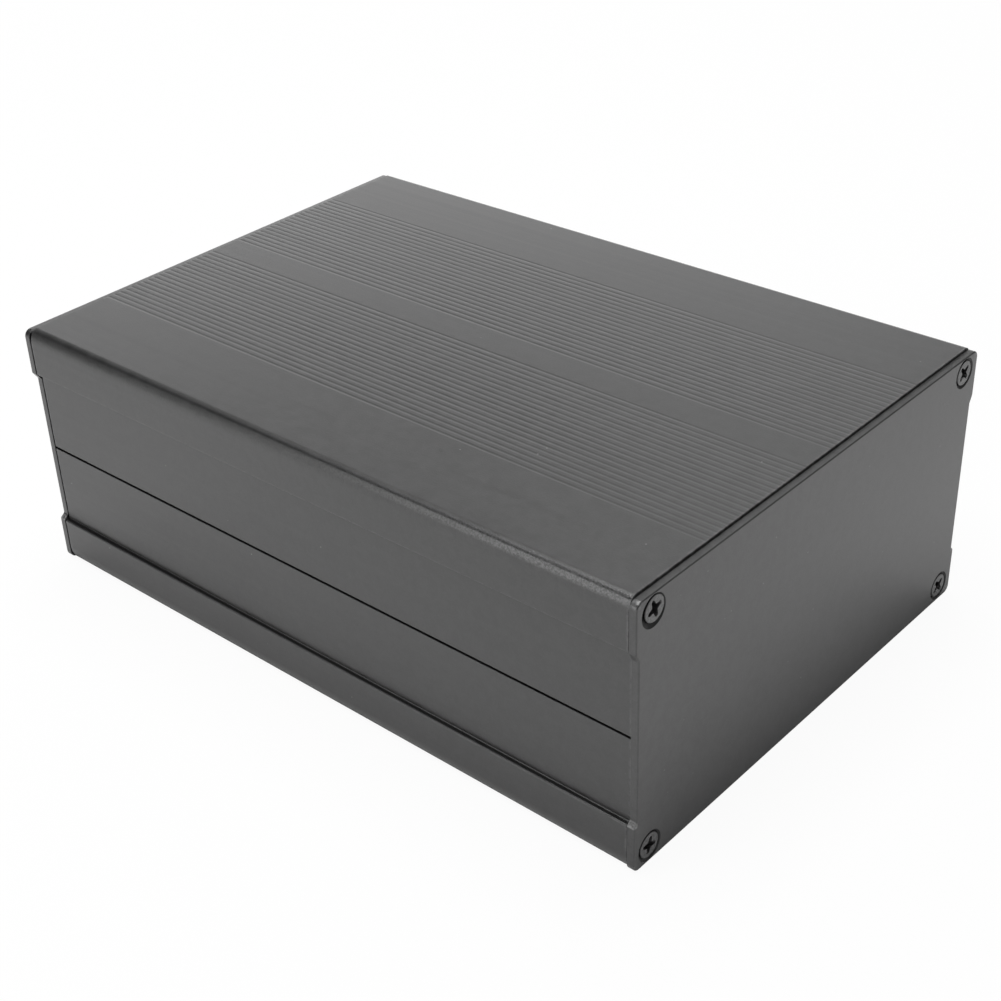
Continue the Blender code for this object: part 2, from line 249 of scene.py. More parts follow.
# Patches of rubbing, painted sheen and painted highlight: noise as above, then the levels between which a
# patch grows
CORNER_RUB_AND_SHEEN_PATCHES = (2600, 3.0, 0.65, 0.38, 0.62)
SHOULDER_HIGHLIGHT_PATCHES = (700, 3.0, 0.6, 0.35, 0.6)
STEP_HIGHLIGHT_PATCHES = (2200, 3.0, 0.6, 0.25, 0.55)
END_PATCHES = (900, 3.0, 0.6, 0.40, 0.60)

# Dust: cells per metre, speck size as a share of a cell's width, share of cells with a speck
DUST = (350, 0.07, 0.10)

# Shares of clouds in the shell's tone, the plate's tone and of die lines in the shell's roughness
SHELL_CLOUD_SHARE = 0.7
PLATE_CLOUD_SHARE = 0.75
DIE_LINE_SHARE = 0.4

# Noise levels that give the ends of a range, and ranges of roughness
SHELL_TONE_LEVELS = (0.41, 0.59)
PLATE_TONE_LEVELS = (0.42, 0.58)
STEEL_TONE_LEVELS = (0.38, 0.60)
ROUGHNESS_LEVELS = (0.35, 0.65)
STEEL_ROUGHNESS_LEVELS = (0.3, 0.7)
SHELL_ROUGHNESS = (0.36, 0.43)
PLATE_ROUGHNESS = (0.30, 0.36)
STEEL_ROUGHNESS = (0.30, 0.48)
LEDGE_SMOOTHER = 0.18
CORNER_SMOOTHER = 0.08
RIM_ROUGHER = 0.4

# Relief of the surfaces, and refractive indices that give their shine
SHELL_RELIEF = 0.000016
CORNER_RELIEF = 0.00004
PLATE_RELIEF = 0.000012
STEEL_RELIEF = 0.00004
ANODISED_INDEX = 1.85
STEEL_INDEX = 1.9

# Masks: start and end of each ramp, as distances off the middle plane (across) and off
# mid-height (height), past the shoulder's end or off a ledge
# Ramps of the rubbed grain with painted sheen on the long corners
CORNER_RUB_AND_SHEEN_ACROSS = (0.0511, 0.0516)
CORNER_RUB_AND_SHEEN_HEIGHT = (0.0256, 0.0261)
CORNER_RUB_AND_SHEEN_ALONG = (-0.005, 0.055)
ROUNDING_ACROSS = (0.0506, 0.0512)
ROUNDING_HEIGHT = (0.0242, 0.0256)
# Ramps of the painted highlight along the shoulder's edge
SHOULDER_HIGHLIGHT_START = (0.00004, 0.00012)
SHOULDER_HIGHLIGHT_END = (0.00026, 0.00040)
SHOULDER_HIGHLIGHT_ACROSS = (0.0521, 0.0523)
# Place and ramps of the painted highlight on the plate's lower steps
STEP_HIGHLIGHT_HEIGHT = SHOULDER_HEIGHT + 0.0003
STEP_HIGHLIGHT_END = (0.0004, 0.0006)
STEP_HIGHLIGHT_ACROSS = (0.05155, 0.05175)
# Ramp of the painted shade off a ledge
LEDGE_SHADE_END = (0.00003, 0.00012)


# Outlines of the section

def arc(centre, radius, start, end, steps):
    """Points on a circle from start to end, in degrees."""
    points = []
    for step in range(steps + 1):
        angle = math.radians(start + (end - start) * step / steps)
        points.append((centre[0] + radius * math.cos(angle), centre[1] + radius * math.sin(angle)))
    return points


def circle(centre, radius):
    """Closed ring of points."""
    return arc(centre, radius, 0, 360 - 360 / CIRCLE_STEPS, CIRCLE_STEPS - 1)


def mirrored(points):
    """The same chain on the other side of the middle, run through backwards."""
    return [(-u, v) for u, v in reversed(points)]


def turn_at(before, corner, after):
    """Direction into a corner, and the signed turn that an outline makes there."""
    incoming = (Vector(corner) - Vector(before)).normalized()
    outgoing = (Vector(after) - Vector(corner)).normalized()
    return incoming, incoming.angle_signed(outgoing)


def rounded_corner(before, corner, after, radius, steps):
    """Arc that takes the place of a sharp corner."""
    incoming, turn = turn_at(before, corner, after)
    reach = radius * math.tan(abs(turn) / 2)
    side = Vector((incoming.y, -incoming.x)) * (1 if turn > 0 else -1)
    centre = Vector(corner) - incoming * reach + side * radius
    start = math.degrees(math.atan2(-side.y, -side.x))
    return arc(centre, radius, start, start - math.degrees(turn), steps)


def long_corner():
    """Rounding from the broad face to the shoulder: a small radius that runs into a large one."""
    outer = WIDTH / 2
    turn = math.radians(CORNER_TOP_TURN)
    across = CORNER_TOP_RADIUS * math.sin(turn) + CORNER_SIDE_RADIUS * (1 - math.sin(turn))
    top_centre = (outer - across, CORNER_TOP_RADIUS)
    rise = (CORNER_SIDE_RADIUS - CORNER_TOP_RADIUS) * math.cos(turn)
    side_centre = (outer - CORNER_SIDE_RADIUS, CORNER_TOP_RADIUS + rise)
    meet = CORNER_TOP_TURN - 90
    top = arc(top_centre, CORNER_TOP_RADIUS, -90, meet, CORNER_TOP_STEPS)
    return top + arc(side_centre, CORNER_SIDE_RADIUS, meet, 0, CORNER_SIDE_STEPS)[1:]


def side_outline(ledge_rounding):
    """Outside of one half section from the broad face over the shoulder to the recessed panel."""
    corner = long_corner()
    shoulder_end = (WIDTH / 2, SHOULDER_HEIGHT)
    panel_start = (PANEL_FACE, SHOULDER_HEIGHT)
    panel_end = (PANEL_FACE, HALF_HEIGHT)
    ledge = rounded_corner(corner[-1], shoulder_end, panel_start, ledge_rounding, LEDGE_STEPS)
    foot = rounded_corner(shoulder_end, panel_start, panel_end, LEDGE_CORNER, LEDGE_CORNER_STEPS)
    return corner + ledge + foot


def groove_band():
    """Chain across one band of soft grooves, from the middle strip outwards."""
    points = []
    for index in range(GROOVES_PER_BAND):
        centre = MIDDLE_STRIP / 2 + GROOVE_START + index * GROOVE_PITCH
        for step in range(GROOVE_STEPS + 1):
            share = step / GROOVE_STEPS
            drop = GROOVE_DEPTH * (1 - math.cos(2 * math.pi * share)) / 2
            points.append((centre + GROOVE_WIDTH * (share - 0.5), drop))
    return points


def seam_edge(outside, rounding):
    """Outer edge of the wall at the seam, rounded, and its level run inwards to outside."""
    end = (outside, SEAM_EDGE)
    corner = (PANEL_FACE, SEAM_EDGE)
    return rounded_corner((PANEL_FACE, 0), corner, end, rounding, SEAM_EDGE_STEPS) + [end]


def seam_tongue():
    """Wall end with the tongue, from the outside in."""
    outside = PANEL_FACE - SLOT_LIP - CLEARANCE
    inside = outside - TONGUE_THICKNESS
    tip = HALF_HEIGHT + TONGUE_REACH
    return seam_edge(outside, TONGUE_SIDE_EDGE) + [
        (outside, tip - TONGUE_TIP_CHAMFER),
        (outside - TONGUE_TIP_CHAMFER, tip),
        (inside + TONGUE_TIP_CHAMFER, tip),
        (inside, tip - TONGUE_TIP_CHAMFER),
        (inside, SEAM_EDGE),
        (SEAM_INSIDE, SEAM_EDGE)]


def seam_slot():
    """Wall end with the slot for the other shell's tongue, from the outside in."""
    outside = PANEL_FACE - SLOT_LIP
    inside = outside - SLOT_WIDTH
    floor = HALF_HEIGHT - TONGUE_REACH - CLEARANCE
    return seam_edge(outside, SLOT_SIDE_EDGE) + [
        (outside, floor),
        (inside, floor),
        (inside, SEAM_EDGE),
        (inside - SLOT_LIP, SEAM_EDGE)]


def seam_bulge():
    """Thicker wall behind the seam, sloping back to the plain wall."""
    bed = HALF_HEIGHT - TONGUE_REACH - CLEARANCE - SLOT_BED
    return [(SEAM_INSIDE, bed), (WALL_INSIDE, bed - (WALL_INSIDE - SEAM_INSIDE))]


def board_rails(top):
    """Rails down the inside of the wall, as many as fit between the seam and the screw port."""
    pitch = RAIL_THICKNESS + BOARD_SLOT
    first = PORT_V + PORT_OUTER_RADIUS + RAIL_MARGIN
    slots = int((top - RAIL_MARGIN / 2 - RAIL_THICKNESS - first) / pitch)
    points = []
    for index in range(slots, -1, -1):
        low = first + index * pitch
        high = low + RAIL_THICKNESS
        points += [(WALL_INSIDE, high), (WALL_INSIDE - RAIL_REACH, high),
                   (WALL_INSIDE - RAIL_REACH, low), (WALL_INSIDE, low)]
    return points


def screw_port():
    """Open round port in the corner, with its mouth towards the middle of the box."""
    centre = (PORT_U, PORT_V)
    mouth = PORT_MOUTH_TURN
    outer_half = math.degrees(math.asin(PORT_MOUTH / 2 / PORT_OUTER_RADIUS))
    bore_half = math.degrees(math.asin(PORT_MOUTH / 2 / PORT_RADIUS))
    points = [(WALL_INSIDE, PORT_V + PORT_OUTER_RADIUS)]
    points += arc(centre, PORT_OUTER_RADIUS, 90, mouth - outer_half, PORT_WALL_STEPS)
    points += arc(centre, PORT_RADIUS, mouth - bore_half, mouth + bore_half - 360, PORT_BORE_STEPS)
    points += arc(centre, PORT_OUTER_RADIUS, mouth + outer_half, 180, PORT_WALL_STEPS)
    points.append((PORT_U - PORT_OUTER_RADIUS, BROAD_WALL))
    return points


def side_of_section(seam_end, ledge_rounding):
    """Half of the section, from the middle strip round to the inside of the broad wall."""
    bulge = seam_bulge()
    rails = board_rails(bulge[-1][1])
    return groove_band() + side_outline(ledge_rounding) + seam_end + bulge + rails + screw_port()


def section(ledge_rounding):
    """Closed outline of one shell: tongue side at +Y, slot side at -Y."""
    tongue_side = side_of_section(seam_tongue(), ledge_rounding)
    return tongue_side + mirrored(side_of_section(seam_slot(), ledge_rounding))


def inset_ring(points, inset):
    """Closed ring of points moved inwards (to its left) by inset."""
    moved = []
    count = len(points)
    for index, point in enumerate(points):
        incoming, turn = turn_at(points[index - 1], point, points[(index + 1) % count])
        turn = max(-LARGEST_TURN, min(LARGEST_TURN, turn))
        left = Vector((-incoming.y, incoming.x))
        moved.append(tuple(Vector(point) + (left + incoming * math.tan(turn / 2)) * inset))
    return moved


# Meshes

def finish_mesh(mesh, name, sharp_angle):
    """Mesh data with outward normals, smooth but for edges sharper than the angle."""
    bmesh.ops.recalc_face_normals(mesh, faces=mesh.faces[:])
    data = bpy.data.meshes.new(name)
    mesh.to_mesh(data)
    mesh.free()
    data.shade_smooth()
    data.set_sharp_from_angle(angle=math.radians(sharp_angle))
    return data


def ring_at(mesh, points, x):
    """Vertices of an outline at x."""
    return [mesh.verts.new((x, u, v)) for u, v in points]


def bridge(mesh, rings):
    """Side faces between each two neighbouring rings of equal length."""
    for near, far in zip(rings, rings[1:]):
        for index in range(len(near)):
            following = (index + 1) % len(near)
            mesh.faces.new((near[index], near[following], far[following], far[index]))


def shell_mesh(ledge_rounding):
    """Extruded section with lightly rounded cut ends and a rubbing value along its edges."""
    outline = section(ledge_rounding)
    inner = inset_ring(outline, SHELL_END_EDGE)
    mesh = bmesh.new()
    wear_and_shade = mesh.verts.layers.float.new("wear_and_shade")
    half = [(0.0, inner, 1.0), (SHELL_END_EDGE, outline, 1.0),
            (END_WEAR_REACH, outline, 0.0), (END_PLAIN_REACH, outline, 0.0)]
    stations = [(reach - SHELL_REAR, points, edge_mark) for reach, points, edge_mark in half]
    stations += [(SHELL_FRONT - reach, points, edge_mark) for reach, points, edge_mark in reversed(half)]
    rings = []
    for x, points, edge_mark in stations:
        rings.append(ring_at(mesh, points, x))
        for corner in rings[-1]:
            corner[wear_and_shade] = edge_mark
    bridge(mesh, rings)
    mesh.faces.new(rings[0])
    mesh.faces.new(rings[-1])
    return finish_mesh(mesh, "extruded_shell", BODY_SHARP_ANGLE)


def plate_corners(end):
    """Sharp corners of an end plate's outline, each with its radius."""
    outer = WIDTH / 2
    panel = PANEL_FACE + PLATE_PANEL_OVERLAP[end]
    shoulder = HALF_HEIGHT - SHOULDER_HEIGHT
    right = [((outer, PLATE_BOTTOM_SETBACK - HALF_HEIGHT), PLATE_CORNER_RADIUS),
             ((outer, -shoulder), PLATE_STEP_ROUNDING),
             ((panel, PLATE_LOWER_SLOPE_RISE - shoulder), PLATE_STEP_ROUNDING),
             ((panel, shoulder - PLATE_UPPER_SLOPE_RISE), PLATE_STEP_ROUNDING),
             ((outer, shoulder), PLATE_STEP_ROUNDING),
             ((outer, HALF_HEIGHT - PLATE_TOP_SETBACK), PLATE_CORNER_RADIUS)]
    return right + [((-u, v), radius) for (u, v), radius in reversed(right)]


def plate_outline(end, inset):
    """Rounded outline of an end plate, moved inwards by inset."""
    corners = plate_corners(end)
    count = len(corners)
    moved = []
    for index, (corner, radius) in enumerate(corners):
        before, after = corners[index - 1][0], corners[(index + 1) % count][0]
        incoming, turn = turn_at(before, corner, after)
        inward = Vector((-incoming.y, incoming.x)) + incoming * math.tan(turn / 2)
        moved.append((Vector(corner) + inward * inset, radius + math.copysign(inset, turn)))
    points = []
    for index, (corner, radius) in enumerate(moved):
        before, after = moved[index - 1][0], moved[(index + 1) % count][0]
        points += rounded_corner(before, corner, after, radius, PLATE_CORNER_STEPS)
    return points


def screw_places():
    """Corner names of one end as seen from outside, with their places across and up."""
    high = HALF_HEIGHT - PORT_FACE_INSET
    return {"top_left": (-PORT_U, high), "top_right": (PORT_U, high),
            "bottom_left": (-PORT_U, -high), "bottom_right": (PORT_U, -high)}


def is_inside(place, ring):
    """Whether a place lies inside a closed ring of points."""
    crossings = 0
    for (u0, v0), (u1, v1) in zip(ring, ring[1:] + ring[:1]):
        if (v0 > place.y) != (v1 > place.y):
            crossings += place.x < u0 + (u1 - u0) * (place.y - v0) / (v1 - v0)
    return crossings % 2 == 1


def flat_with_holes(mesh, outline, holes, x):
    """Flat face at x between an outline and its holes; returns the rings' vertices."""
    points = [Vector(point) for point in outline]
    edges = [(index, (index + 1) % len(outline)) for index in range(len(outline))]
    for hole in holes:
        start = len(points)
        points += [Vector(point) for point in hole]
        edges += [(start + index, start + (index + 1) % len(hole)) for index in range(len(hole))]
    placed, _, faces, origins = delaunay_2d_cdt(points, edges, [], 1, 1e-9)[:4]
    corners = [mesh.verts.new((x, point.x, point.y)) for point in placed]
    for face in faces:
        middle = sum((placed[index] for index in face), Vector((0, 0))) / len(face)
        if is_inside(middle, outline) and not any(is_inside(middle, hole) for hole in holes):
            mesh.faces.new([corners[index] for index in face])
    found = {item: corners[index] for index, source in enumerate(origins) for item in source}
    rings = []
    start = 0
    for ring in [outline, *holes]:
        rings.append([found[start + index] for index in range(len(ring))])
        start += len(ring)
    return rings


def rounded_edge(radius, face, inward):
    """Place and inset of each ring of a rounded edge, from its flat face round to the side."""
    rings = []
    for step in range(EDGE_STEPS + 1):
        angle = math.radians(90 * step / EDGE_STEPS)
        rings.append((face + inward * radius * (1 - math.cos(angle)), radius * (1 - math.sin(angle))))
    return rings


def plate_mesh(end):
    """End plate with rounded edges and countersunk holes, its outer face at X = 0."""
    mesh = bmesh.new()
    wear_and_shade = mesh.verts.layers.float.new("wear_and_shade")
    centres = screw_places()
    sinks = {corner: Vector(place) + Vector(SINK_DRIFT[end].get(corner, (0, 0)))
             for corner, place in centres.items()}
    mouths = [circle(sink, RING_RADIUS) for sink in sinks.values()]
    bores = [circle(centre, PORT_RADIUS) for centre in centres.values()]
    front = flat_with_holes(mesh, plate_outline(end, PLATE_FRONT_EDGE), mouths, 0.0)
    back = flat_with_holes(mesh, plate_outline(end, PLATE_BACK_EDGE), bores, -PLATE_THICKNESS)
    rim = [ring_at(mesh, plate_outline(end, inset), x)
           for x, inset in rounded_edge(PLATE_FRONT_EDGE, 0.0, -1)[1:]]
    # Rim rings carry the edge mark: painted shade and a rougher finish
    for ring in rim[:-1]:
        for corner in ring:
            broad = abs(corner.co.z) > HALF_HEIGHT - BROAD_RIM_DEPTH
            corner[wear_and_shade] = 1.0 if broad else SIDE_RIM_MARK
    foot = [ring_at(mesh, plate_outline(end, inset), x)
            for x, inset in rounded_edge(PLATE_BACK_EDGE, -PLATE_THICKNESS, 1)[:0:-1]]
    bridge(mesh, [front[0], *rim, *foot, back[0]])
    for number, (corner, sink) in enumerate(sinks.items(), 1):
        throat = ring_at(mesh, circle(sink, RING_RADIUS - RING_EDGE / 2), -RING_EDGE)
        neck = ring_at(mesh, circle(centres[corner], PORT_RADIUS), RING_EDGE - PLATE_THICKNESS)
        # Countersink walls carry the same mark: painted shade inside the hole
        for place in throat + neck:
            place[wear_and_shade] = 1.0
        bridge(mesh, [front[number], throat, neck, back[number]])
    return finish_mesh(mesh, "end_plate", BODY_SHARP_ANGLE)


def cross_outline(share):
    """Rounded cross of the drive recess, share 0 at the face and 1 at its floor."""
    reach, wing, body = (face + (floor - face) * share
                         for face, floor in (DRIVE_REACH, DRIVE_WING, DRIVE_BODY))
    quarter = arc((reach - wing, 0), wing, -WING_END, WING_END, WING_STEPS) + [(body, body)]
    points = []
    for index in range(4):
        turn = Matrix.Rotation(index * math.pi / 2, 2)
        points += [tuple(turn @ Vector(place)) for place in quarter]
    return points


def thread_rings(mesh, start, end):
    """Rings of a rolled helical thread that fades in under the head and tapers at its tip."""
    count = THREAD_STEPS * int((start - end) / THREAD_PITCH)
    rings = []
    for index in range(count + 1):
        x = start + (end - start) * index / count
        fade = min(1.0, index / THREAD_STEPS, (count - index) / THREAD_STEPS)
        taper = TIP_TAPER * max(0.0, 1 - (count - index) / TIP_RINGS)
        ring = []
        for corner in range(CIRCLE_STEPS):
            angle = 2 * math.pi * corner / CIRCLE_STEPS
            phase = (x / THREAD_PITCH + corner / CIRCLE_STEPS) % 1.0
            crest = max(0.0, 1 - abs(phase - 0.5) * THREAD_FLANK)
            radius = CORE_RADIUS + (THREAD_RADIUS - CORE_RADIUS) * crest * fade - taper
            ring.append(mesh.verts.new((x, radius * math.cos(angle), radius * math.sin(angle))))
        rings.append(ring)
    return rings


def screw_mesh():
    """Countersunk screw with a rounded cross recess and a rolled thread, its head at X = 0."""
    mesh = bmesh.new()
    wear_and_shade = mesh.verts.layers.float.new("wear_and_shade")
    face = flat_with_holes(mesh, circle((0, 0), HEAD_RADIUS - HEAD_EDGE), [cross_outline(0.0)], 0.0)
    for corner in mesh.verts:
        corner[wear_and_shade] = 1.0
    cone_start = -HEAD_EDGE - HEAD_RIM
    cone_end = cone_start - (HEAD_RADIUS - CORE_RADIUS)
    rings = [face[0]]
    rings += [ring_at(mesh, circle((0, 0), HEAD_RADIUS - inset), x)
              for x, inset in rounded_edge(HEAD_EDGE, 0.0, -1)[1:]]
    rings.append(ring_at(mesh, circle((0, 0), HEAD_RADIUS), cone_start))
    rings.append(ring_at(mesh, circle((0, 0), CORE_RADIUS), cone_end))
    rings += thread_rings(mesh, cone_end - NECK_LENGTH, THREAD_END_GAP - SCREW_LENGTH)
    bridge(mesh, rings)
    mesh.faces.new(rings[-1])
    walls = [face[1]]
    walls += [ring_at(mesh, cross_outline(share), -DRIVE_DEPTH * share) for share in DRIVE_LEVELS]
    bridge(mesh, walls)
    point = mesh.verts.new((-DRIVE_DEPTH * DRIVE_POINT, 0, 0))
    for index, corner in enumerate(walls[-1]):
        mesh.faces.new((walls[-1][index - 1], corner, point))
    return finish_mesh(mesh, "screw", SCREW_SHARP_ANGLE)


# Pieces

def end_matrix(end):
    """Place of an end plate's outer face, the rear one turned round."""
    half_turn = 0.0 if end == "front" else math.pi
    middle = Matrix.Translation((0, 0, HALF_HEIGHT))
    return middle @ Matrix.Rotation(half_turn, 4, "Z") @ Matrix.Translation((PLATE_OUTSIDE, 0, 0))


def add_piece(name, data, matrix, material, replaced):
    """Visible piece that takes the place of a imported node."""
    mesh = data.copy()
    mesh.transform(matrix)
    mesh.materials.clear()
    mesh.materials.append(material)
    piece = bpy.data.objects.new(name, mesh)
    bpy.context.scene.collection.objects.link(piece)
    weighted = piece.modifiers.new("even_shading", "WEIGHTED_NORMAL")
    weighted.keep_sharp = True
    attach(piece, BODY)
    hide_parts(replaced)


def add_shells(material):
    """Both shells, the upper one turned over."""
    over = Matrix.Translation((0, 0, HEIGHT)) @ Matrix.Rotation(math.pi, 4, "X")
    for name, place in (("lower", Matrix.Identity(4)), ("upper", over)):
        shell = shell_mesh(LEDGE_ROUNDING[name])
        add_piece(f"extrusion_{name}", shell, place, material, f"{name}_shell")


def add_end(end, screw, materials):
    """One end plate with its four screws."""
    frame = end_matrix(end)
    add_piece(f"plate_{end}", plate_mesh(end), frame, materials["plate"],
              f"{end}_end_plate")
    for corner, (across, up) in screw_places().items():
        aside, over_middle = SCREW_DRIFT[end].get(corner, (0.0, 0.0))
        seat = Matrix.Translation((-HEAD_SINK, across + aside, up + over_middle))
        turn = Matrix.Rotation(math.radians(DRIVE_TURNS[end][corner]), 4, "X")
        add_piece(f"screw_{end}_{corner}", screw, frame @ seat @ turn, materials["screw"],
                  f"{end}_screw_{corner}")


def add_box(materials):
    """All pieces of the box."""
    screw = screw_mesh()
    add_shells(materials["shell"])
    for end in ("front", "rear"):
        add_end(end, screw, materials)


# Materials

class Nodes:
    """Short hand for building one material's nodes."""

    def __init__(self, name):
        self.material = bpy.data.materials.new(name)
        self.material.use_nodes = True
        self.tree = self.material.node_tree
        self.shader = self.tree.nodes["Principled BSDF"]
        self.place = self.add("ShaderNodeTexCoord").outputs["Object"]

    def add(self, kind, **settings):
        node = self.tree.nodes.new(kind)
        for key, value in settings.items():
            setattr(node, key, value)
        return node

    def link(self, source, target):
        self.tree.links.new(source, target)

    def stretched(self, scale):
        """Place on the object, scaled along each axis."""
        node = self.add("ShaderNodeMapping")
        node.inputs["Scale"].default_value = scale
        self.link(self.place, node.inputs["Vector"])
        return node.outputs["Vector"]

    def noise(self, scale, detail, rough, vector=None):
        node = self.add("ShaderNodeTexNoise")
        node.inputs["Scale"].default_value = scale
        node.inputs["Detail"].default_value = detail
        node.inputs["Roughness"].default_value = rough
        self.link(vector or self.place, node.inputs["Vector"])
        return node.outputs["Fac"]

    def spread(self, value, low, high, to_low=0.0, to_high=1.0):
        """Ramp from to_low where the value is low up to to_high where it is high."""
        node = self.add("ShaderNodeMapRange")
        node.clamp = True
        for key, number in zip(("From Min", "From Max", "To Min", "To Max"), (low, high, to_low, to_high)):
            node.inputs[key].default_value = number
        self.link(value, node.inputs["Value"])
        return node.outputs["Result"]

    def fade(self, value, low, high):
        """Ramp from 1 where the value is low down to 0 where it is high."""
        return self.spread(value, low, high, 1.0, 0.0)

    def patches(self, scale, detail, rough, low, high):
        """Noise as patches that grow between two of its levels."""
        return self.spread(self.noise(scale, detail, rough), low, high)

    def math(self, operation, *values):
        node = self.add("ShaderNodeMath", operation=operation)
        for socket, value in zip(node.inputs, values):
            if isinstance(value, (int, float)):
                socket.default_value = value
            else:
                self.link(value, socket)
        return node.outputs[0]

    def product(self, result, *factors):
        for factor in factors:
            result = self.math("MULTIPLY", result, factor)
        return result

    def mixed(self, first, second, share):
        """Sum of two values, the first one with the given share."""
        return self.math("ADD", self.product(first, share), self.product(second, 1 - share))

    def blend(self, factor, first, second):
        """Colour mix of two colours, each a tuple or a socket."""
        node = self.add("ShaderNodeMix", data_type="RGBA")
        self.link(factor, node.inputs["Factor"])
        for name, value in (("A", first), ("B", second)):
            socket = [s for s in node.inputs if s.name == name and s.type == "RGBA"][0]
            if isinstance(value, tuple):
                socket.default_value = (*value, 1.0)
            else:
                self.link(value, socket)
        return [s for s in node.outputs if s.type == "RGBA"][0]

    def bump(self, height, distance, base=None):
        node = self.add("ShaderNodeBump")
        node.inputs["Distance"].default_value = distance
        self.link(height, node.inputs["Height"])
        if base:
            self.link(base, node.inputs["Normal"])
        return node.outputs["Normal"]

    def edge_mark(self):
        """The mark that a mesh carries along its edges: rubbing on shell ends and screw heads, painted
        shade on plate rims and countersink walls.
        """
        node = self.add("ShaderNodeAttribute", attribute_name="wear_and_shade")
        return node.outputs["Fac"]

    def axis(self, name):
        node = self.add("ShaderNodeSeparateXYZ")
        self.link(self.place, node.inputs["Vector"])
        return node.outputs[name]

    def distance(self, value, level):
        return self.math("ABSOLUTE", self.math("SUBTRACT", value, level))

    def across(self):
        """Distance off the middle plane, to either side."""
        return self.math("ABSOLUTE", self.axis("Y"))

    def height(self):
        """Distance off mid-height, up or down."""
        return self.distance(self.axis("Z"), HALF_HEIGHT)

    def specks(self, scale, size, share):
        """Sparse round specks, 1 inside and 0 outside; size is a share of a cell's width."""
        cells = self.add("ShaderNodeTexVoronoi")
        cells.inputs["Scale"].default_value = scale
        self.link(self.place, cells.inputs["Vector"])
        split = self.add("ShaderNodeSeparateColor")
        self.link(cells.outputs["Color"], split.inputs["Color"])
        dot = self.fade(cells.outputs["Distance"], size / 2, size)
        return self.product(dot, self.math("GREATER_THAN", split.outputs[0], 1 - share))

    def paint(self, colour, layers):
        """Base colour, with each layer's colour over it where the layer's mask is 1."""
        for mask, shade in layers:
            colour = self.blend(mask, colour, shade)
        self.link(colour, self.shader.inputs["Base Color"])

    def finish(self, roughness, normal, index):
        """Material with its roughness, normal and refractive index set."""
        self.link(roughness, self.shader.inputs["Roughness"])
        self.link(normal, self.shader.inputs["Normal"])
        self.shader.inputs["IOR"].default_value = index
        return self.material


def corner_rub_and_sheen(n):
    """Rubbed grain with painted sheen on the long rounded corners, growing towards the front end."""
    return n.product(n.spread(n.across(), *CORNER_RUB_AND_SHEEN_ACROSS), n.spread(n.height(), *CORNER_RUB_AND_SHEEN_HEIGHT),
                     n.spread(n.axis("X"), *CORNER_RUB_AND_SHEEN_ALONG), n.patches(*CORNER_RUB_AND_SHEEN_PATCHES))


def shoulder_highlight(n):
    """Faint painted highlight line along the edge where a shoulder ends, broken into patches."""
    past = n.math("SUBTRACT", n.height(), HALF_HEIGHT - SHOULDER_HEIGHT)
    return n.product(n.spread(past, *SHOULDER_HIGHLIGHT_START), n.fade(past, *SHOULDER_HIGHLIGHT_END),
                     n.spread(n.across(), *SHOULDER_HIGHLIGHT_ACROSS), n.patches(*SHOULDER_HIGHLIGHT_PATCHES))


def step_highlight(n):
    """Painted highlight on the lower steps at the sides of an end plate, broken into patches."""
    off_step = n.distance(n.axis("Z"), STEP_HIGHLIGHT_HEIGHT)
    return n.product(n.fade(off_step, *STEP_HIGHLIGHT_END), n.spread(n.across(), *STEP_HIGHLIGHT_ACROSS),
                     n.patches(*STEP_HIGHLIGHT_PATCHES))


def on_rounding(n):
    """Mask of the long rounded corners."""
    return n.product(n.spread(n.across(), *ROUNDING_ACROSS), n.spread(n.height(), *ROUNDING_HEIGHT))


def ledge_painted_shade(n):
    """Painted shade along the narrow ledges between shoulder and panel."""
    return n.fade(n.distance(n.height(), HALF_HEIGHT - SHOULDER_HEIGHT), *LEDGE_SHADE_END)


def shell_material():
    """Satin black anodised extrusion: etched grain, faint die lines, dust, rubbed ends, rubbed corners
    with painted sheen, painted highlight along the shoulders' edges and painted shade on the ledges.
    """
    n = Nodes("black_anodised_extrusion")
    die_lines = n.noise(*DIE_LINES, n.stretched(DIE_LINE_STRETCH))
    clouds = n.noise(*SHELL_CLOUDS)
    grain = n.noise(*SHELL_GRAIN)
    ledge_shade = ledge_painted_shade(n)
    tone = n.spread(n.mixed(clouds, grain, SHELL_CLOUD_SHARE), *SHELL_TONE_LEVELS)
    n.paint(n.blend(tone, *SHELL_TONES),
            [(corner_rub_and_sheen(n), RUBBED_AND_SHEEN_CORNER),
             (shoulder_highlight(n), PAINTED_SHOULDER_HIGHLIGHT),
             (n.product(n.edge_mark(), n.patches(*END_PATCHES)), RUBBED_END),
             (n.specks(*DUST), SHELL_DUST),
             (ledge_shade, PAINTED_LEDGE_SHADE)])
    rough = n.spread(n.mixed(die_lines, clouds, DIE_LINE_SHARE), *ROUGHNESS_LEVELS, *SHELL_ROUGHNESS)
    rounding = on_rounding(n)
    smoother = n.math("ADD", n.product(ledge_shade, LEDGE_SMOOTHER), n.product(rounding, CORNER_SMOOTHER))
    coarse = n.product(rounding, n.math("SUBTRACT", n.noise(*CORNER_GRAIN), 0.5))
    relief = n.bump(coarse, CORNER_RELIEF, n.bump(grain, SHELL_RELIEF))
    return n.finish(n.math("SUBTRACT", rough, smoother), relief, ANODISED_INDEX)


